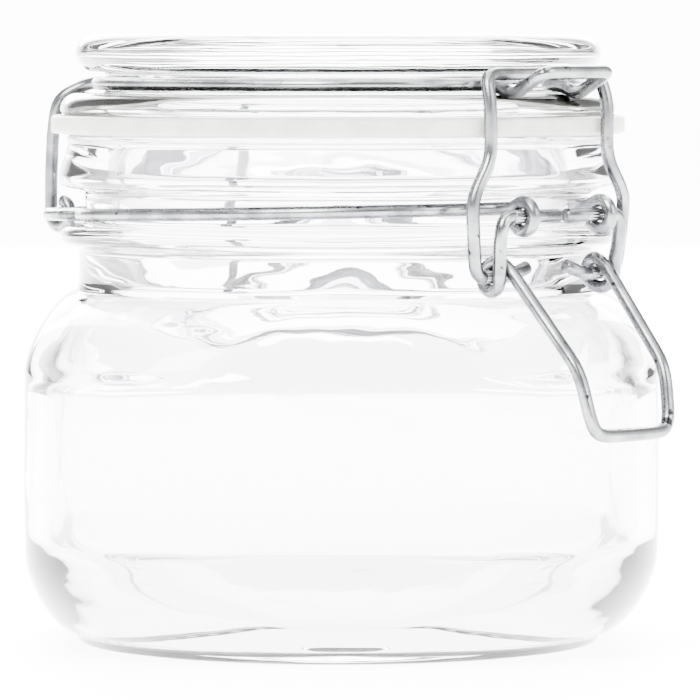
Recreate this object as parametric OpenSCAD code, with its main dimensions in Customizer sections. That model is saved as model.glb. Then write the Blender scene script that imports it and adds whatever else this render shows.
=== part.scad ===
// Clip-top glass storage jar: a square-shouldered glass jar with a round neck, a flat glass lid
// with a soft seal, and a wire clasp. The clasp is on the -Y side and the hinge on the +Y side.
// The origin is the centre of the foot, in the plane the jar stands on. Millimetres, +Z up.

/* [Jar body] */
// Width of the body across its flat faces
body_width = 103.5; // [90:0.5:130]
// Radius of the body's upright corners
corner_radius = 29; // [20:0.5:36]
// Height at which the shoulder ends and the neck starts
shoulder_height = 58.2; // [50:0.1:61]
// Radius of the round foot
foot_radius = 43.5; // [36:0.1:44.2]
// Height of the foot below the body
foot_height = 2; // [1:0.1:4]
// Thickness of the body's glass
body_wall = 3.4; // [2:0.1:5]
// Thickness of the base's glass
base_thickness = 5; // [3:0.1:8]
// Depth of the hollow under the base
push_up = 1.4; // [0.5:0.1:2]
// Width of the bearing ring that the jar stands on
bearing_width = 6; // [3:0.1:10]

/* [Neck] */
// Radius of the plain neck below the bead
neck_radius = 43.1; // [42.4:0.1:44]
// Radius of the mouth's bore
mouth_radius = 38.5; // [36:0.1:39]
// Height of the lip that the seal rests on
lip_height = 84.2; // [83:0.1:92]
// Radius of the bead below the neck ring
bead_radius = 46.1; // [44:0.1:46.2]
// Radius of the rim bulge above the neck ring
rim_radius = 46.3; // [44.5:0.1:46.4]

/* [Lid] */
// Height of the lid above its seat on the seal
lid_height = 13.4; // [12:0.1:18]
// Radius of the lid's lower flange
lid_radius = 46.1; // [44:0.1:46.3]
// Radius of the lid's top flange
top_radius = 43.6; // [42:0.1:44]
// Thickness of the lid's glass over its hollow
lid_wall = 5.5; // [3.5:0.1:7]
// Thickness of the seal
seal_thickness = 3; // [2:0.1:4]
// Outer radius of the seal
seal_radius = 47.6; // [46:0.1:47.8]

/* [Wires] */
// Diameter of all four wires
wire_d = 2.2; // [1.8:0.1:2.4]
// Radial gap between a wire and the pin or bar that it turns on
running_gap = 0.1; // [0.05:0.01:0.2]
// Half the distance between the neck ring's two eyelets
eyelet_x = 9.3; // [8:0.1:10]
// Half the width of the bail
bail_x = 14.2; // [13.6:0.1:15]
// Half the width of the lid ring's tongue
tongue_x = 7.8; // [6:0.1:9]
// Half the distance between the lid ring's two hinge legs
hinge_x = 20; // [18:0.1:22]
// Height of the crossbar above the tongue's dip when latched
hook_gap = 1; // [0.95:0.05:1.2]

/* [Hidden] */
$fn = 96;
sides = 14;
wire_r = wire_d / 2;
curl_r = wire_d + running_gap;
eye_start = -30;
eye_end = 240;
curl_turn = 255;
steel = [0.72, 0.74, 0.76];
half = body_width / 2;
corner_reach = half * sqrt(2) - corner_radius * (sqrt(2) - 1);

// How far up and down the body the heel and the shoulder curve, and how full those curves are
heel = 14;
shoulder = 12;
edge_power = 1.55;
belly = 0.35;
belly_z = 32;

// Heights that stack up from the lip
seal_gap = 0.1;
seal_z = lip_height + seal_gap;
lid_z = seal_z + seal_thickness;
lid_top = lid_z + lid_height;
groove_low = lid_z + 3.7;
groove_high = groove_low + 3.5;
lid_ring_z = groove_low + 1.6;
lid_ring_r = 39.8;
lid_groove_r = lid_ring_r - wire_r - 0.1;

// The neck ring's groove, and the heights of the ring at the clasp and at the hinge
ring_r = 43.25;
ring_groove_r = ring_r - wire_r - 0.15;
groove_floor = lip_height - 15;
ring_front_z = lip_height - 11.5;
ring_back_z = lip_height - 13.7;

// Axes of the lever, the bail and the lid's hinge, as [distance from the jar's axis, height]
lever_axis = [49.6, lip_height - 12.6];
bail_axis = [46.3, lip_height - 22.2];
dip = [45.4, lid_z + 3.9];
crossbar = [dip[0], dip[1] + wire_d + hook_gap];
hinge_axis = [-45.6, ring_back_z];
leg_clear_r = seal_radius + wire_r + 0.3;
bail_leg_u = sqrt(leg_clear_r * leg_clear_r - bail_x * bail_x);
handle_u = corner_reach + wire_r + 2.2;

// Where each wire stands across the clasp, worked out from its neighbour
coil_in = eyelet_x + wire_r + 1.2;
coil_out = coil_in + wire_d + 0.1;
arm_x = coil_out + 0.6;
bail_pin_x = coil_out + wire_d + 0.9;
bail_flare_x = arm_x + wire_d + 1.5;

function unit(v) = v / norm(v);
function place(x, uz) = [x, -uz[0], uz[1]];
function ring_z(u) = (ring_front_z + ring_back_z) / 2 + (ring_front_z - ring_back_z) * u / (2 * ring_r);
function flip(path) = [for (p = path) [-p[0], p[1], p[2]]];
function back(path) = [for (i = [len(path) - 1 : -1 : 0]) path[i]];

// Rounds each corner of a path with a curve that starts up to "reach" before it
function bend(path, reach, steps = 4) = [
    for (i = [0 : len(path) - 1])
        if (i == 0 || i == len(path) - 1) path[i]
        else
            let (
                p = path[i],
                a = path[i - 1] - p,
                b = path[i + 1] - p,
                from = p + unit(a) * min(reach, norm(a) * 0.45),
                to = p + unit(b) * min(reach, norm(b) * 0.45)
            )
            for (s = [0 : steps])
                let (t = s / steps)
                from * (1 - t) * (1 - t) + p * 2 * t * (1 - t) + to * t * t
];

function tangents(p) = [
    for (i = [0 : len(p) - 1]) unit(p[min(i + 1, len(p) - 1)] - p[max(i - 1, 0)])
];
function carry(t, i, n) =
    i >= len(t) ? [] : let (m = unit(n - (n * t[i]) * t[i])) concat([m], carry(t, i + 1, m));

// A round wire swept along a path
module wire(path) {
    t = tangents(path);
    first = abs(t[0][2]) > 0.8 ? [1, 0, 0] : [0, 0, 1];
    n = carry(t, 0, first);
    last = len(path) - 1;
    points = [
        for (i = [0 : last], k = [0 : sides - 1])
            let (a = 360 * k / sides)
            path[i] + wire_r * 0.995 * (cos(a) * n[i] + sin(a) * cross(t[i], n[i]))
    ];
    skin = [
        for (i = [0 : last - 1], k = [0 : sides - 1])
            let (a = i * sides + k, b = i * sides + (k + 1) % sides)
            each [[a, a + sides, b], [b, a + sides, b + sides]]
    ];
    start_cap = [for (k = [0 : sides - 1]) k];
    end_cap = [for (k = [sides - 1 : -1 : 0]) last * sides + k];
    polyhedron(points, concat(skin, [start_cap, end_cap]));
}

// A straight round pin along X, from one x to another
module pin(x0, x1, axis) {
    translate([x0, -axis[0], axis[1]]) rotate([0, 90, 0]) cylinder(r = wire_r, h = x1 - x0);
}

// A wire eye around an axis along X. Angles are measured from +Z towards -Y.
function eye(x, axis, from, to, step = 15) = [
    for (a = [from : step : to]) place(x, axis + curl_r * [sin(a), cos(a)])
];

// One ring of the body's outline: a square of half-width w with corners of radius c
function outline(z, w, c, steps = 11) = [
    for (q = [0 : 3], j = [0 : steps])
        let (a = 90 * q + 90 * j / steps, s = q * 90 + 45)
        let (k = (w - c) * sqrt(2))
        let (x = k * cos(s) + c * cos(a), y = k * sin(s) + c * sin(a))
        [(x - y) / sqrt(2), (x + y) / sqrt(2), z]
];

// A closed solid through a stack of outlines
module loft(rings) {
    n = len(rings[0]);
    m = len(rings);
    polyhedron(
        [for (r = rings) each r],
        concat(
            [for (i = [0 : m - 2], k = [0 : n - 1])
                let (a = i * n + k, b = i * n + (k + 1) % n)
                each [[a, a + n, b], [b, a + n, b + n]]],
            [[for (k = [0 : n - 1]) k]],
            [[for (k = [n - 1 : -1 : 0]) (m - 1) * n + k]]));
}

// One outline of the body at a height, less an inset: a curved heel, a slight belly and a shoulder
function near_circle(w) = w - 0.4;
function body_ring(z, inset, low, high, low_w, high_w) =
    let (
        up = min(1, max(0, (z - low) / heel)),
        down = min(1, max(0, (high - z) / shoulder)),
        full = half - belly * pow((z - belly_z) / 24, 2) - inset,
        a = low_w + (full - low_w) * pow(1 - pow(1 - up, edge_power), 1 / edge_power),
        b = high_w + (full - high_w) * pow(1 - pow(1 - down, edge_power), 1 / edge_power),
        w = min(a, b),
        blend = min(1, (w - min(low_w, high_w)) / (half - inset - min(low_w, high_w))),
        round_c = near_circle(w),
        c = round_c + (corner_radius - inset - round_c) * pow(max(0, blend), 0.7)
    )
    outline(z, w, min(round_c, c));

body_steps = 18;
function body_z(i, low, high) = let (t = i / body_steps) low + (high - low) * (0.5 - 0.5 * cos(180 * t));
function body_stack(inset, low, high, low_w, high_w) = [
    for (i = [0 : body_steps]) body_ring(body_z(i, low, high), inset, low, high, low_w, high_w)
];

module jar() {
    color([0.86, 0.9, 0.9, 0.45])
    difference() {
        union() {
            loft(body_stack(0, foot_height, shoulder_height, foot_radius + 0.5, neck_radius + 0.5));
            rotate_extrude() polygon([
                [0, push_up], [foot_radius - bearing_width - 2, push_up],
                [foot_radius - bearing_width, 0], [foot_radius - 1, 0],
                [foot_radius, 1], [foot_radius, foot_height + 4], [0, foot_height + 4]
            ]);
            rotate_extrude() neck_profile();
        }
        loft(body_stack(body_wall, base_thickness, shoulder_height - 2.6,
            foot_radius - 5, mouth_radius + 1.2));
        translate([0, 0, shoulder_height - 8]) cylinder(r = mouth_radius, h = lip_height);
    }
}

module neck_profile() {
    polygon([
        [mouth_radius - 3, shoulder_height - 5],
        [neck_radius, shoulder_height - 5],
        [neck_radius, groove_floor - 4.2],
        [neck_radius + 1, groove_floor - 3.6],
        [bead_radius - 0.4, groove_floor - 3],
        [bead_radius, groove_floor - 2.2],
        [bead_radius, groove_floor - 1],
        [bead_radius - 0.7, groove_floor],
        [ring_groove_r + 0.4, groove_floor],
        [ring_groove_r, groove_floor + 0.6],
        [ring_groove_r, groove_floor + 5],
        [ring_groove_r + 0.4, groove_floor + 5.5],
        [rim_radius - 0.5, groove_floor + 6.4],
        [rim_radius, groove_floor + 7.2],
        [rim_radius, groove_floor + 8.4],
        [rim_radius - 1.7, lip_height - 1.4],
        [rim_radius - 1.2, lip_height - 0.7],
        [rim_radius - 1.8, lip_height],
        [mouth_radius - 3, lip_height]
    ]);
}

module lid() {
    boss_r = mouth_radius - 4;
    round_r = groove_low - lid_z - 0.85;
    hollow_r = boss_r - 4.5;
    color([0.87, 0.91, 0.91, 0.45])
    rotate_extrude() polygon(concat(
        [
            [0, lid_top - lid_wall], [hollow_r - 3, lid_top - lid_wall],
            [hollow_r, lid_top - lid_wall - 3], [hollow_r + 0.5, lip_height - 1],
            [hollow_r + 1.2, lip_height - 1.7], [boss_r, lip_height - 1.7],
            [boss_r + 2.6, lip_height + 0.4], [boss_r + 2.6, lid_z], [lid_radius - 0.8, lid_z],
            [lid_radius, lid_z + 0.8]
        ],
        [for (a = [0 : 15 : 90]) [lid_radius - round_r + round_r * cos(a),
            groove_low - round_r + round_r * sin(a)]],
        [[lid_groove_r, groove_low], [lid_groove_r, groove_high]],
        [for (a = [-90 : 15 : 90]) [top_radius - 3.1 + 3.1 * cos(a), (groove_high + lid_top) / 2
            + (lid_top - groove_high) / 2 * sin(a)]],
        [[0, lid_top]]
    ));
}

module seal() {
    inner = mouth_radius - 1.2;
    color([0.86, 0.87, 0.82, 0.9])
    rotate_extrude() polygon([
        [inner, seal_z], [seal_radius - 0.5, seal_z], [seal_radius, seal_z + 0.5],
        [seal_radius, lid_z - 0.5], [seal_radius - 0.5, lid_z], [inner, lid_z]
    ]);
}

// The neck ring, from one eyelet round the back to the other
module neck_ring() {
    side = acos(eyelet_x / ring_r);
    bar_x = hinge_x + 3.4;
    round = [for (a = [90 - side + 4 : 6 : 128]) [
        ring_r * sin(a), -ring_r * cos(a), ring_z(ring_r * cos(a))]];
    end = concat(
        back(eye(eyelet_x, lever_axis, eye_start, eye_end)),
        [place(eyelet_x, [lever_axis[0] - 2.6, ring_front_z + 0.2])],
        round,
        bend([round[len(round) - 1],
            [bar_x + 1, -hinge_axis[0] - 1.6, ring_back_z],
            [bar_x - 1.6, -hinge_axis[0], ring_back_z],
            [bar_x - 3.6, -hinge_axis[0], ring_back_z]], 1.5, 3)
    );
    color(steel) {
        wire(end);
        wire(flip(end));
        pin(-bar_x + 2.9, bar_x - 2.9, hinge_axis);
    }
}

// The lid ring: the tongue at the front, the ring in the lid's groove, and the hinge legs
module lid_ring() {
    side = acos(tongue_x / lid_ring_r);
    tongue_end = [dip[0] + 7.5, dip[1] + 3.5];
    tongue_in = 2.2;
    tongue_rise = 1.1;
    half_ring = [for (a = [90 - side + 1 : 6 : 159]) [
        lid_ring_r * sin(a), -lid_ring_r * cos(a), lid_ring_z]];
    tongue = bend([
        [0, -tongue_end[0], tongue_end[1]],
        [tongue_x - 0.1, -tongue_end[0], tongue_end[1]],
        [tongue_x, -dip[0] - 0.5, dip[1] - 0.3],
        [tongue_x, -dip[0] + tongue_in, dip[1] + tongue_rise],
        [tongue_x, -lid_ring_r, lid_ring_z],
        half_ring[0]
    ], 1.6);
    leg = bend([
        half_ring[len(half_ring) - 1],
        [hinge_x - 4, lid_ring_r + 2.6, lid_ring_z],
        [hinge_x, lid_radius + 0.1, lid_ring_z - 2.6],
        [hinge_x, seal_radius - 0.2, seal_z],
        [hinge_x, -hinge_axis[0] + curl_r, hinge_axis[1] + 6],
        [hinge_x, -hinge_axis[0] + curl_r, hinge_axis[1] + 0.8]
    ], 2.5);
    curl = [for (a = [0 : 15 : curl_turn]) [
        hinge_x, -hinge_axis[0] + curl_r * cos(a), hinge_axis[1] - curl_r * sin(a)]];
    side_path = concat(tongue, [for (i = [1 : len(half_ring) - 2]) half_ring[i]], leg, curl);
    whole = concat(back(flip(side_path)), [for (i = [1 : len(side_path) - 1]) side_path[i]]);
    color(steel) wire(whole);
}

// The lever: pins in the eyelets, an arm down to a coil on each side, and the handle
module lever() {
    down = bend([
        place(eyelet_x + 0.6, lever_axis),
        place(arm_x - 0.6, lever_axis),
        place(arm_x, lever_axis + [-0.3, -3.6]),
        place(coil_out, bail_axis + [curl_r + 0.05, 2]),
        place(coil_out, bail_axis + [curl_r + 0.05, 0.4])
    ], 1.8);
    coil = [for (a = [0 : 15 : 315])
        place(coil_out + (coil_in - coil_out) * a / 315,
            bail_axis + (curl_r + 0.05) * [cos(a), -sin(a)])];
    handle = bend([
        place(coil_in, bail_axis + [3, 0.6]),
        place(10.4, [handle_u - 2, lip_height - 36.8]),
        place(9.4, [handle_u - 0.2, lip_height - 45.4]),
        place(7.6, [handle_u, lip_height - 47.2]),
        place(0, [handle_u, lip_height - 47.2])
    ], 3);
    side_path = concat(down, coil, handle);
    whole = concat(side_path, [for (i = [len(side_path) - 2 : -1 : 0]) flip(side_path)[i]]);
    color(steel) {
        wire(whole);
        for (s = [0, 1]) mirror([s, 0, 0]) pin(1, eyelet_x + 2.4, lever_axis);
    }
}

// The bail: a crossbar over the tongue, two sprung legs, and pins that turn inside the coils
module bail() {
    tip_x = 4.8;
    side_path = bend([
        place(0, crossbar),
        place(bail_x - 0.6, crossbar),
        place(bail_x, [bail_leg_u, crossbar[1] - 4.4]),
        place(bail_x - 0.2, [bail_leg_u, seal_z - 3.4]),
        place(bail_flare_x, [bail_leg_u, lip_height - 9.4]),
        place(bail_flare_x, [bail_leg_u - 0.1, lip_height - 12.6]),
        place(bail_pin_x, bail_axis),
        place(bail_pin_x - 3.9, bail_axis)
    ], 2.6);
    tip = [place(coil_in - 0.5, bail_axis), place(coil_in - wire_r - 1.4, bail_axis),
        place(tip_x, bail_axis + [0, 1.3])];
    whole = concat(back(flip(side_path)), [for (i = [1 : len(side_path) - 1]) side_path[i]]);
    color(steel) {
        wire(whole);
        for (s = [0, 1]) mirror([s, 0, 0]) {
            pin(coil_in - wire_r - 0.3, coil_out + wire_r + 0.1, bail_axis);
            wire(bend(tip, 0.8));
        }
    }
}

jar();
neck_ring();
lid();
seal();
lid_ring();
lever();
bail();
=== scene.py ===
"""Looks of a clip-top glass storage jar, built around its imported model.

The glass and the seal are rebuilt as smooth meshes from the sizes that the
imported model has. The four wires keep their own solids and get a zinc finish.
"""

import logging
import math
from dataclasses import dataclass, field
from enum import Enum
from typing import Callable, Sequence

import bpy
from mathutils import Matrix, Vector


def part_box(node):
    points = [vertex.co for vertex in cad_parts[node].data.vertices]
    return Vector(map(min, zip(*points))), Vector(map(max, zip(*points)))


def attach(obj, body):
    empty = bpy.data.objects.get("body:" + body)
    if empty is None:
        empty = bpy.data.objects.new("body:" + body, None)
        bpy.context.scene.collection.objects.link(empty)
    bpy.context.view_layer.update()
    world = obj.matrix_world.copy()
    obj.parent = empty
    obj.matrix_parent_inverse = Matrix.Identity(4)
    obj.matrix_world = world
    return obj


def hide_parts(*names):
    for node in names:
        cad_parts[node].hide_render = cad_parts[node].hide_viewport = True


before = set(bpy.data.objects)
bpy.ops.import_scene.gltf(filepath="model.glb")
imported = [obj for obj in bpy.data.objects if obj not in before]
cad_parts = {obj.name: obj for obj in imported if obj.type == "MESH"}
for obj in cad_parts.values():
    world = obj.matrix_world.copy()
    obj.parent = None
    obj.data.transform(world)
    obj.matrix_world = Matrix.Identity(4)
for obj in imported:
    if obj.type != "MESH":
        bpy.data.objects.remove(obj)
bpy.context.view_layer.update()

logging.basicConfig(level=logging.INFO, format="%(name)s: %(message)s")
log = logging.getLogger("jar")

MM = 0.001
SEGMENTS = 256
ARC_PIECES = 12
POLE_RADIUS = 4.0
Point = tuple[float, float]
Colour = tuple[float, float, float]


class Slot(Enum):
    """The material slots that the record names."""

    GLASS = "glass"
    RUBBER = "rubber"
    WIRE = "wire"


class Body(Enum):
    """The bodies that pieces ride on."""

    JAR = "jar"
    LID = "lid"


# ---------------------------------------------------------------- finishes


def add_ramp(tree: bpy.types.NodeTree, source,
             stops: Sequence[tuple[float, Colour]]):
    """Turns a number into a colour.

    Args:
        tree: The nodes to add to.
        source: The socket that gives the number.
        stops: Each place from 0 to 1 and the colour there.

    Returns:
        The socket that gives the colour.
    """
    node = tree.nodes.new("ShaderNodeValToRGB")
    elements = node.color_ramp.elements
    while len(elements) < len(stops):
        elements.new(0.5)
    for element, (spot, colour) in zip(elements, stops):
        element.position = spot
        element.color = (*colour, 1)
    tree.links.new(source, node.inputs["Fac"])
    return node.outputs["Color"]


class Recipe:
    """A material that is being put together from nodes."""

    def __init__(self, name: str) -> None:
        """Starts a material with one Principled shader.

        Args:
            name: The material's name.
        """
        self.material = bpy.data.materials.new(name)
        self.material.use_nodes = True
        self.tree = self.material.node_tree
        self.shader = self.tree.nodes["Principled BSDF"]
        self.coordinates = self.tree.nodes.new("ShaderNodeTexCoord")

    def set(self, **values: float | tuple) -> None:
        """Sets shader sockets; an underscore in a name stands for a space.

        Args:
            values: Socket names and their values.
        """
        for name, value in values.items():
            self.shader.inputs[name.replace("_", " ")].default_value = value

    def noise(self, scale: float, detail: float, stretch: Sequence[float] = (1, 1, 1)):
        """Adds noise in the object's own coordinates.

        Args:
            scale: How many waves there are to a metre.
            detail: How many finer layers are added.
            stretch: How much the noise is squeezed along each axis.

        Returns:
            The socket that gives the noise.
        """
        mapping = self.tree.nodes.new("ShaderNodeMapping")
        mapping.inputs["Scale"].default_value = stretch
        node = self.tree.nodes.new("ShaderNodeTexNoise")
        node.inputs["Scale"].default_value = scale
        node.inputs["Detail"].default_value = detail
        self.link(self.coordinates.outputs["Object"], mapping.inputs["Vector"])
        self.link(mapping.outputs["Vector"], node.inputs["Vector"])
        return node.outputs["Fac"]

    def ramp(self, source, stops: Sequence[tuple[float, Colour]]):
        """Turns a number into a colour.

        Args:
            source: The socket that gives the number.
            stops: Each place from 0 to 1 and the colour there.

        Returns:
            The socket that gives the colour.
        """
        return add_ramp(self.tree, source, stops)

    def spread(self, source, low: float, high: float):
        """Maps 0 to 1 onto another range.

        Args:
            source: The socket that gives the number.
            low: What 0.3 becomes.
            high: What 0.7 becomes.

        Returns:
            The socket that gives the new number.
        """
        node = self.tree.nodes.new("ShaderNodeMapRange")
        node.inputs["From Min"].default_value = 0.3
        node.inputs["From Max"].default_value = 0.7
        node.inputs["To Min"].default_value = low
        node.inputs["To Max"].default_value = high
        self.link(source, node.inputs["Value"])
        return node.outputs["Result"]

    def bump(self, height, strength: float, distance: float) -> None:
        """Raises the surface by a height.

        Args:
            height: The socket that gives the height.
            strength: How strongly it shows, from 0 to 1.
            distance: The height of 1, in metres.
        """
        node = self.tree.nodes.new("ShaderNodeBump")
        node.inputs["Strength"].default_value = strength
        node.inputs["Distance"].default_value = distance
        self.link(height, node.inputs["Height"])
        self.link(node.outputs["Normal"], self.shader.inputs["Normal"])

    def link(self, source, target) -> None:
        """Joins two sockets."""
        self.tree.links.new(source, target)


@dataclass(frozen=True)
class GlassFinish:
    """Clear pressed glass with the slow ripple that a mould leaves."""

    name: str
    tint: Colour = (0.83, 0.845, 0.835)
    ior: float = 1.5
    ripple_scale: float = 45.0
    ripple: float = 0.35
    ripple_height: float = 0.0006
    stretch: tuple[float, float, float] = (1.0, 1.0, 2.2)
    gloss_low: float = 0.0
    gloss_high: float = 0.03

    def material(self) -> bpy.types.Material:
        """Builds the material.

        Returns:
            The glass material.
        """
        recipe = Recipe(self.name)
        recipe.set(Base_Color=(*self.tint, 1), Transmission_Weight=1.0, IOR=self.ior)
        smear = recipe.noise(self.ripple_scale * 3, 3)
        roughness = recipe.spread(smear, self.gloss_low, self.gloss_high)
        recipe.link(roughness, recipe.shader.inputs["Roughness"])
        wave = recipe.noise(self.ripple_scale, 2, self.stretch)
        recipe.bump(wave, self.ripple, self.ripple_height)
        return recipe.material


@dataclass(frozen=True)
class SealFinish:
    """Soft off-white rubber that lets a little light through."""

    name: str = "seal_rubber"
    light: Colour = (0.42, 0.43, 0.39)
    dark: Colour = (0.34, 0.35, 0.31)
    grain_scale: float = 260.0

    def material(self) -> bpy.types.Material:
        """Builds the material.

        Returns:
            The rubber material.
        """
        recipe = Recipe(self.name)
        recipe.set(
            Transmission_Weight=0.12,
            Subsurface_Weight=0.4,
            Subsurface_Radius=(0.004, 0.004, 0.0035),
            Subsurface_Scale=1.0,
            IOR=1.42,
        )
        grain = recipe.noise(self.grain_scale, 4)
        colour = recipe.ramp(grain, [(0.35, self.dark), (0.65, self.light)])
        recipe.link(colour, recipe.shader.inputs["Base Color"])
        recipe.link(recipe.spread(grain, 0.38, 0.52), recipe.shader.inputs["Roughness"])
        recipe.bump(grain, 0.15, 0.0002)
        return recipe.material


@dataclass(frozen=True)
class ZincFinish:
    """Bright zinc on drawn wire, with a cloudy tone and a few dark specks."""

    name: str = "zinc_wire"
    bright: Colour = (0.20, 0.205, 0.21)
    dull: Colour = (0.09, 0.093, 0.097)
    speck: Colour = (0.012, 0.012, 0.013)
    cloud_scale: float = 180.0
    speck_scale: float = 420.0

    def material(self) -> bpy.types.Material:
        """Builds the material.

        Returns:
            The zinc material.
        """
        recipe = Recipe(self.name)
        recipe.set(Metallic=1.0)
        cloud = recipe.noise(self.cloud_scale, 5)
        base = recipe.ramp(cloud, [(0.35, self.dull), (0.6, self.bright)])
        speck = recipe.noise(self.speck_scale, 2)
        mask = recipe.ramp(speck, [(0.27, (1, 1, 1)), (0.33, (0, 0, 0))])
        mix = recipe.tree.nodes.new("ShaderNodeMix")
        mix.data_type = "RGBA"
        colours = [s for s in mix.inputs if s.type == "RGBA"]
        recipe.link(mask, mix.inputs["Factor"])
        recipe.link(base, colours[0])
        colours[1].default_value = (*self.speck, 1)
        out = next(s for s in mix.outputs if s.type == "RGBA")
        recipe.link(out, recipe.shader.inputs["Base Color"])
        recipe.link(recipe.spread(cloud, 0.34, 0.20), recipe.shader.inputs["Roughness"])
        recipe.bump(speck, 0.12, 0.0002)
        return recipe.material


# ------------------------------------------------------------------ shapes


def rounded(profile: Sequence[Point], reach: float, steps: int = 5) -> list[Point]:
    """Rounds the corners of an open profile.

    Args:
        profile: The points, each a radius and a height in millimetres.
        reach: How far before a corner its curve starts.
        steps: How many pieces each curve has.

    Returns:
        The rounded profile.
    """
    smooth = [profile[0]]
    for before, corner, after in zip(profile, profile[1:], profile[2:]):
        c = Vector(corner)
        a, b = Vector(before) - c, Vector(after) - c
        start = c + a.normalized() * min(reach, a.length * 0.45)
        end = c + b.normalized() * min(reach, b.length * 0.45)
        for i in range(steps + 1):
            t = i / steps
            p = start * (1 - t) ** 2 + c * 2 * t * (1 - t) + end * t * t
            smooth.append((p.x, p.y))
    smooth.append(profile[-1])
    return smooth


def arc(centre: Point, radius: float, start: float, end: float) -> list[Point]:
    """Gives points on an arc.

    Args:
        centre: The arc's centre, in millimetres.
        radius: The arc's radius.
        start: The first angle, in degrees.
        end: The last angle, in degrees.

    Returns:
        The points along the arc.
    """
    turn = (end - start) / ARC_PIECES
    angles = [math.radians(start + turn * i) for i in range(ARC_PIECES + 1)]
    return [
        (centre[0] + radius * math.cos(a), centre[1] + radius * math.sin(a))
        for a in angles
    ]


def square_reach(angle: float, half_width: float, corner: float) -> float:
    """Distance from the centre of a rounded square to its edge.

    Args:
        angle: The direction, in radians, from the middle of a flat side.
        half_width: Half the width across the flat sides.
        corner: The corners' radius. Equal to half_width, it gives a circle.

    Returns:
        The distance, in the units of half_width.
    """
    folded = angle % (math.pi / 2)
    flat = half_width - corner
    toward_corner = folded - math.pi / 4
    along_flat = half_width * math.tan(math.pi / 4 - abs(toward_corner))
    if along_flat <= flat:
        return half_width / math.cos(math.pi / 4 - abs(toward_corner))
    k = flat * math.sqrt(2)
    return k * math.cos(toward_corner) + math.sqrt(
        corner * corner - (k * math.sin(toward_corner)) ** 2
    )


@dataclass
class Ring:
    """One level of a shape: a rounded square or a circle, with an optional ripple."""

    height: float
    half_width: float
    corner: float
    ripple: float = 0.0
    ripples: int = 64

    def points(self) -> list[tuple[float, float, float]]:
        """Gives the ring's points in metres, with its corners on the axes."""
        result = []
        for i in range(SEGMENTS):
            angle = 2 * math.pi * i / SEGMENTS
            reach = square_reach(angle, self.half_width, self.corner)
            turned = angle + math.pi / 4
            lift = self.ripple * (0.5 - 0.5 * math.cos(self.ripples * angle))
            result.append((
                reach * math.cos(turned) * MM,
                reach * math.sin(turned) * MM,
                (self.height + lift) * MM,
            ))
        return result


def round_rings(profile: Sequence[Point]) -> list[Ring]:
    """Makes a circular ring for each point of a profile."""
    return [Ring(height, radius, radius) for radius, height in profile]


def skin(name: str, rings: Sequence[Ring], closed: bool) -> bpy.types.Object:
    """Makes a smooth solid through rings.

    Args:
        name: The piece's name.
        rings: The rings, from one end of the surface to the other.
        closed: True where the last ring joins the first, as in a seal. Otherwise
            each end is closed with a fan to its centre.

    Returns:
        The piece.
    """
    vertices = [p for ring in rings for p in ring.points()]
    faces: list[tuple[int, ...]] = []
    pairs = len(rings) if closed else len(rings) - 1
    for i in range(pairs):
        low, high = i * SEGMENTS, (i + 1) % len(rings) * SEGMENTS
        for k in range(SEGMENTS):
            j = (k + 1) % SEGMENTS
            faces.append((low + k, low + j, high + j, high + k))
    if not closed:
        for ring_index, flip in ((0, True), (len(rings) - 1, False)):
            first = ring_index * SEGMENTS
            vertices.append((0, 0, rings[ring_index].height * MM))
            hub = len(vertices) - 1
            for k in range(SEGMENTS):
                j = (k + 1) % SEGMENTS
                edge = (first + j, first + k) if flip else (first + k, first + j)
                faces.append((*edge, hub))
    mesh = bpy.data.meshes.new(name)
    mesh.from_pydata(vertices, [], faces)
    mesh.validate()
    mesh.shade_smooth()
    piece = bpy.data.objects.new(name, mesh)
    bpy.context.scene.collection.objects.link(piece)
    return piece


def place(
    piece: bpy.types.Object,
    body: Body,
    node: str,
    material: bpy.types.Material,
) -> None:
    """Dresses a rebuilt piece and puts it in the place of its solid.

    Args:
        piece: The rebuilt piece.
        body: The body that it rides on.
        node: The solid that it stands for.
        material: The piece's finish.
    """
    piece.data.materials.append(material)
    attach(piece, body.value)
    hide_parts(node)
    log.info("%s: %d faces on %s", piece.name, len(piece.data.polygons), body.value)


# ----------------------------------------------------------- sub-assemblies


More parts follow.
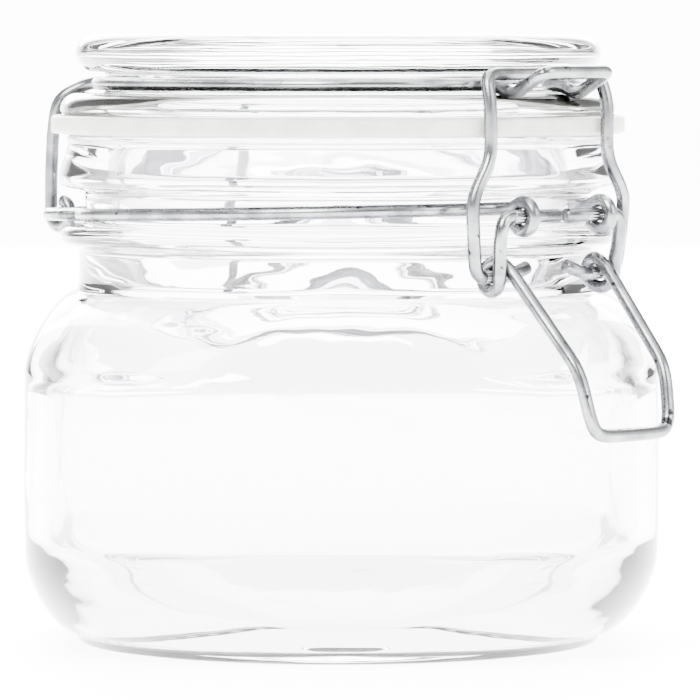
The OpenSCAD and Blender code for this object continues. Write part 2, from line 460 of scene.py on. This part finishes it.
@dataclass
class GlassJar:
    """The glass jar: a soft square body, a round neck and a hollow inside."""

    corner_radius: float = 29.0
    shoulder_height: float = 58.2
    foot_radius: float = 43.5
    foot_height: float = 2.0
    wall: float = 3.4
    base: float = 5.0
    push_up: float = 1.4
    bearing: float = 6.0
    neck_radius: float = 43.1
    mouth_radius: float = 38.5
    bead_radius: float = 46.1
    rim_radius: float = 46.3
    groove_radius: float = 42.0
    groove_depth: float = 15.0
    heel: float = 14.0
    shoulder: float = 12.0
    fullness: float = 1.55
    belly: float = 0.35
    levels: int = 56
    knurl: float = 0.3
    lip: float = field(default_factory=lambda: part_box("jar")[1].z / MM)
    reach: float = field(default_factory=lambda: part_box("jar")[1].x / MM)

    def half_width(self) -> float:
        """Gives half the width across the flat sides, from the reach of a corner."""
        return (self.reach + self.corner_radius * (math.sqrt(2) - 1)) / math.sqrt(2)

    def body_rings(self, inset: float, low: float, high: float,
                   low_width: float, high_width: float) -> list[Ring]:
        """Makes the soft square stretch of the jar, outside or inside.

        Args:
            inset: How far it lies inside the outer surface.
            low: The height that it starts at.
            high: The height that it ends at.
            low_width: Its radius where it starts.
            high_width: Its radius where it ends.

        Returns:
            The rings, from the lowest up.
        """
        rings = []
        half, power = self.half_width(), self.fullness
        for i in range(self.levels + 1):
            z = low + (high - low) * (0.5 - 0.5 * math.cos(math.pi * i / self.levels))
            up = min(1.0, (z - low) / self.heel)
            down = min(1.0, (high - z) / self.shoulder)
            full = half - self.belly * ((z - 32) / 24) ** 2 - inset
            rise = (1 - (1 - up) ** power) ** (1 / power)
            fall = (1 - (1 - down) ** power) ** (1 / power)
            width = min(low_width + (full - low_width) * rise,
                        high_width + (full - high_width) * fall)
            narrow = min(low_width, high_width)
            blend = max(0.0, min(1.0, (width - narrow) / (half - inset - narrow)))
            circle = width - 0.01
            corner = circle + (self.corner_radius - inset - circle) * blend ** 0.7
            rings.append(Ring(z, width, min(circle, corner)))
        return rings

    def neck(self) -> list[Point]:
        """Gives the outside of the neck, from the shoulder to the lip's edge."""
        floor = self.lip - self.groove_depth
        return rounded([
            (self.neck_radius + 0.4, self.shoulder_height + 0.3),
            (self.neck_radius, self.shoulder_height + 1.2),
            (self.neck_radius, floor - 4.2),
            (self.neck_radius + 1, floor - 3.6),
            (self.bead_radius - 0.4, floor - 3),
            (self.bead_radius, floor - 2.2),
            (self.bead_radius, floor - 1),
            (self.bead_radius - 0.7, floor),
            (self.groove_radius + 0.4, floor),
            (self.groove_radius, floor + 0.6),
            (self.groove_radius, floor + 5),
            (self.groove_radius + 0.4, floor + 5.5),
            (self.rim_radius - 0.5, floor + 6.4),
            (self.rim_radius, floor + 7.2),
            (self.rim_radius, floor + 8.4),
            (self.rim_radius - 1.7, self.lip - 1.4),
            (self.rim_radius - 1.2, self.lip - 0.7),
            (self.rim_radius - 1.8, self.lip),
            (self.mouth_radius + 0.9, self.lip),
            (self.mouth_radius, self.lip - 0.9),
            (self.mouth_radius, self.shoulder_height - 1),
        ], 0.7)

    def foot(self) -> list[Ring]:
        """Makes the foot: the hollow under the base and the knurled bearing ring."""
        inner = self.foot_radius - self.bearing
        hollow = round_rings([(POLE_RADIUS, self.push_up), (inner - 8, self.push_up),
                              (inner - 2.4, self.push_up), (inner - 1.2, 0.7)])
        grip = [Ring(0, r, r, ripple=self.knurl)
                for r in (inner + 0.6, inner + 2, inner + 3.4, inner + 4.6)]
        edge = round_rings([(self.foot_radius - 0.9, 0.0), (self.foot_radius - 0.3, 0.3),
                            (self.foot_radius, 1.0)])
        return hollow + grip + edge

    def build(self, material: bpy.types.Material) -> None:
        """Builds the jar as one closed skin, out over the lip and back inside.

        Args:
            material: The glass.
        """
        outside = self.body_rings(0, self.foot_height, self.shoulder_height,
                                  self.foot_radius + 0.5, self.neck_radius + 0.5)
        inside = self.body_rings(self.wall, self.base, self.shoulder_height - 2.6,
                                 self.foot_radius - 5, self.mouth_radius + 1.2)
        floor = round_rings([(self.foot_radius - 9, self.base), (POLE_RADIUS, self.base)])
        rings = self.foot() + outside + round_rings(self.neck()) + inside[::-1] + floor
        glass = skin("jar_glass", rings, closed=False)
        place(glass, Body.JAR, "jar", material)


@dataclass
class ClipLid:
    """The lid: pressed glass with two flanges and a hollow, and the seal under it."""

    seat: float = 3.1
    groove_radius: float = 38.6
    lower_round: float = 2.85
    top_radius: float = 43.6
    top_round: float = 3.1
    groove_low: float = 3.7
    groove_width: float = 3.5
    crown: float = 5.5
    boss_radius: float = 34.5
    hollow_radius: float = 30.0
    step_radius: float = 37.1
    seal_inner: float = 37.3
    seal_round: float = 0.7
    lip: float = field(default_factory=lambda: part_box("jar")[1].z / MM)
    top: float = field(default_factory=lambda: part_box("lid")[1].z / MM)
    radius: float = field(default_factory=lambda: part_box("lid")[1].x / MM)

    def lid_profile(self) -> list[Point]:
        """Gives the lid's outline, from the hollow's centre to the top's centre."""
        seat = self.lip + self.seat
        low = seat + self.groove_low
        high = low + self.groove_width
        inside = rounded([
            (POLE_RADIUS, self.top - self.crown),
            (self.hollow_radius - 3, self.top - self.crown),
            (self.hollow_radius, self.top - self.crown - 3),
            (self.hollow_radius + 0.5, self.lip - 1),
            (self.hollow_radius + 1.2, self.lip - 1.7),
            (self.boss_radius, self.lip - 1.7),
            (self.step_radius, self.lip + 0.4),
            (self.step_radius, seat),
            (self.radius - 0.8, seat),
            (self.radius, seat + 0.8),
        ], 1.0)
        flange = arc((self.radius - self.lower_round, low - self.lower_round),
                     self.lower_round, 0, 90)
        groove = rounded([(self.radius - self.lower_round - 0.5, low),
                          (self.groove_radius, low),
                          (self.groove_radius, high),
                          (self.top_radius - self.top_round - 0.3, high)], 0.6)
        brim = arc((self.top_radius - self.top_round, (high + self.top) / 2),
                   (self.top - high) / 2, -90, 90)
        return inside + flange + groove + brim + [(20, self.top), (POLE_RADIUS, self.top)]

    def seal_profile(self) -> list[Point]:
        """Gives the seal's outline, once round."""
        low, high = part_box("seal")
        bottom, top, outer = low.z / MM, high.z / MM, high.x / MM
        r = self.seal_round
        return [
            (self.seal_inner, bottom),
            *arc((outer - r, bottom + r), r, -90, 0),
            *arc((outer - r, top - r), r, 0, 90),
            (self.seal_inner, top),
        ]

    def build(self, glass: bpy.types.Material, rubber: bpy.types.Material) -> None:
        """Builds the lid and the seal.

        Args:
            glass: The lid's finish.
            rubber: The seal's finish.
        """
        lid = skin("lid_glass", round_rings(self.lid_profile()), closed=False)
        place(lid, Body.LID, "lid", glass)
        seal = skin("seal_ring", round_rings(self.seal_profile()), closed=True)
        place(seal, Body.LID, "seal", rubber)


@dataclass
class WireClasp:
    """The four wires, which keep their solids and are only smoothed and dressed."""

    nodes: tuple[str, ...] = ("neck_ring", "lid_ring", "lever", "bail")
    weld: float = 0.00002

    def smoother(self) -> bpy.types.NodeTree:
        """Makes the modifier that joins a wire's facets and shades them smooth.

        Returns:
            The modifier's node tree.
        """
        tree = bpy.data.node_groups.new("round_wire", "GeometryNodeTree")
        for way in ("INPUT", "OUTPUT"):
            tree.interface.new_socket("Geometry", in_out=way,
                                      socket_type="NodeSocketGeometry")
        start = tree.nodes.new("NodeGroupInput")
        merge = tree.nodes.new("GeometryNodeMergeByDistance")
        merge.inputs["Distance"].default_value = self.weld
        smooth = tree.nodes.new("GeometryNodeSetShadeSmooth")
        end = tree.nodes.new("NodeGroupOutput")
        for source, target in ((start, merge), (merge, smooth), (smooth, end)):
            tree.links.new(source.outputs[0], target.inputs[0])
        return tree

    def build(self, material: bpy.types.Material) -> None:
        """Dresses the wires.

        Args:
            material: The zinc finish.
        """
        tree = self.smoother()
        for name in self.nodes:
            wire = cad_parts[name]
            wire.data.materials.clear()
            wire.data.materials.append(material)
            wire.modifiers.new("round", "NODES").node_group = tree
            log.info("%s: dressed", name)


# ------------------------------------------------------------------- studio


@dataclass
class Studio:
    """A white sweep, soft lights and the camera."""

    clasp_turn: float = 46.5
    distance: float = 1.021
    eye_height: float = 0.1007
    pitch: float = 2.943
    yaw: float = 0.112
    lens: float = 316.0
    floor_radius: float = 6.0
    floor_glow: float = 8.0
    floor_sides: int = 96
    paper_dark: Colour = (0.93, 0.93, 0.935)
    paper_light: Colour = (0.95, 0.95, 0.955)
    room_strength: float = 14.0
    side_walls: tuple[Point, ...] = (
        (0.0, 1.0), (0.3, 0.95), (0.5, 0.06), (0.8, 0.12), (1.0, 0.5))
    front_to_back: tuple[Point, ...] = ((0.0, 0.04), (0.4, 0.1), (0.6, 0.7), (1.0, 1.0))

    def floor(self) -> None:
        """Lays the pale floor."""
        mesh = bpy.data.meshes.new("floor")
        turns = [2 * math.pi * i / self.floor_sides for i in range(self.floor_sides)]
        ring = [(self.floor_radius * math.cos(turn),
                 self.floor_radius * math.sin(turn), -0.0001) for turn in turns]
        mesh.from_pydata(ring, [], [tuple(range(self.floor_sides))])
        floor = bpy.data.objects.new("floor", mesh)
        bpy.context.scene.collection.objects.link(floor)
        recipe = Recipe("pale_floor")
        paper = recipe.noise(60, 2)
        colour = recipe.ramp(paper, [(0.3, self.paper_dark), (0.7, self.paper_light)])
        recipe.link(colour, recipe.shader.inputs["Base Color"])
        recipe.set(Roughness=0.8, Specular_IOR_Level=0.1,
                   Emission_Color=(1, 1, 1, 1), Emission_Strength=self.floor_glow)
        mesh.materials.append(recipe.material)

    def surroundings(self) -> None:
        """Makes a bright room with darker walls at its sides, so glass edges read."""
        world = bpy.data.worlds.new("room")
        bpy.context.scene.world = world
        world.use_nodes = True
        tree = world.node_tree
        turn = math.radians(self.clasp_turn)
        coordinates = tree.nodes.new("ShaderNodeTexCoord")
        across = (math.cos(turn), -math.sin(turn), 0)
        ahead = (math.sin(turn), math.cos(turn), 0)
        side = self.facing(tree, coordinates, across, "ABSOLUTE")
        front = self.facing(tree, coordinates, ahead, "ADD")
        walls = self.levels(tree, side, self.side_walls)
        depth = self.levels(tree, front, self.front_to_back)
        mix = tree.nodes.new("ShaderNodeMix")
        mix.data_type = "RGBA"
        mix.blend_type = "MULTIPLY"
        mix.inputs["Factor"].default_value = 1
        colours = [s for s in mix.inputs if s.type == "RGBA"]
        tree.links.new(walls, colours[0])
        tree.links.new(depth, colours[1])
        out = next(s for s in mix.outputs if s.type == "RGBA")
        background = tree.nodes["Background"]
        background.inputs["Strength"].default_value = self.room_strength
        tree.links.new(out, background.inputs["Color"])

    @staticmethod
    def facing(tree: bpy.types.NodeTree, coordinates: bpy.types.Node,
               way: Sequence[float], operation: str):
        """Measures how far a direction points one way.

        Args:
            tree: The room's nodes.
            coordinates: The node that gives the direction.
            way: The way to measure along.
            operation: What is done to the measure: ABSOLUTE, or ADD to add 1.

        Returns:
            The socket that gives the measure.
        """
        dot = tree.nodes.new("ShaderNodeVectorMath")
        dot.operation = "DOT_PRODUCT"
        dot.inputs[1].default_value = way
        after = tree.nodes.new("ShaderNodeMath")
        after.operation = operation
        after.inputs[1].default_value = 1.0
        tree.links.new(coordinates.outputs["Generated"], dot.inputs[0])
        tree.links.new(dot.outputs["Value"], after.inputs[0])
        return after.outputs[0]

    @staticmethod
    def levels(tree: bpy.types.NodeTree, source, stops: Sequence[Point]):
        """Turns a measure into a brightness.

        Args:
            tree: The room's nodes.
            source: The socket that gives the measure.
            stops: Each place from 0 to 1 and the brightness there.

        Returns:
            The socket that gives the brightness.
        """
        greys = [(spot, (level, level, level)) for spot, level in stops]
        return add_ramp(tree, source, greys)

    def light(self, name: str, spot: Sequence[float], size: float, power: float) -> None:
        """Hangs a soft square light that faces the jar.

        Args:
            name: The light's name.
            spot: Where it hangs, in metres.
            size: Its width, in metres.
            power: Its power, in watts.
        """
        data = bpy.data.lights.new(name, "AREA")
        data.size = size
        data.energy = power
        lamp = bpy.data.objects.new(name, data)
        lamp.location = spot
        aim = Vector((0, 0, 0.05)) - lamp.location
        lamp.rotation_euler = aim.to_track_quat("-Z", "Y").to_euler()
        bpy.context.scene.collection.objects.link(lamp)

    def camera(self) -> None:
        """Sets up the camera, level with the lid and square to the body's side."""
        turn = math.radians(self.clasp_turn)
        data = bpy.data.cameras.new("camera")
        data.lens = self.lens
        camera = bpy.data.objects.new("camera", data)
        camera.location = (-self.distance * math.sin(turn),
                           -self.distance * math.cos(turn), self.eye_height)
        camera.rotation_euler = (math.radians(90 - self.pitch), 0,
                                 -turn - math.radians(self.yaw))
        bpy.context.scene.collection.objects.link(camera)
        bpy.context.scene.camera = camera

    def build(self) -> None:
        """Builds the studio."""
        self.floor()
        self.surroundings()
        self.light("key", (-1.1, -0.4, 1.1), 0.8, 90)
        self.light("fill", (0.2, -1.4, 0.7), 0.9, 40)
        self.light("back", (1.0, 1.0, 0.9), 1.4, 160)
        self.camera()
        log.info("studio: built")


def main() -> None:
    """Builds the jar, its lid, its clasp and the studio."""
    steps: list[tuple[str, Callable[[], None]]] = [
        ("jar", lambda: GlassJar().build(
            GlassFinish("jar_clear_glass", tint=(0.80, 0.80, 0.83)).material())),
        ("lid", lambda: ClipLid().build(
            GlassFinish("lid_clear_glass", ripple=0.5, stretch=(1, 1, 4)).material(),
            SealFinish().material())),
        ("clasp", lambda: WireClasp().build(ZincFinish().material())),
        ("studio", Studio().build),
    ]
    for name, step in steps:
        log.info("building the %s", name)
        step()


if __name__ == "__main__":
    main()
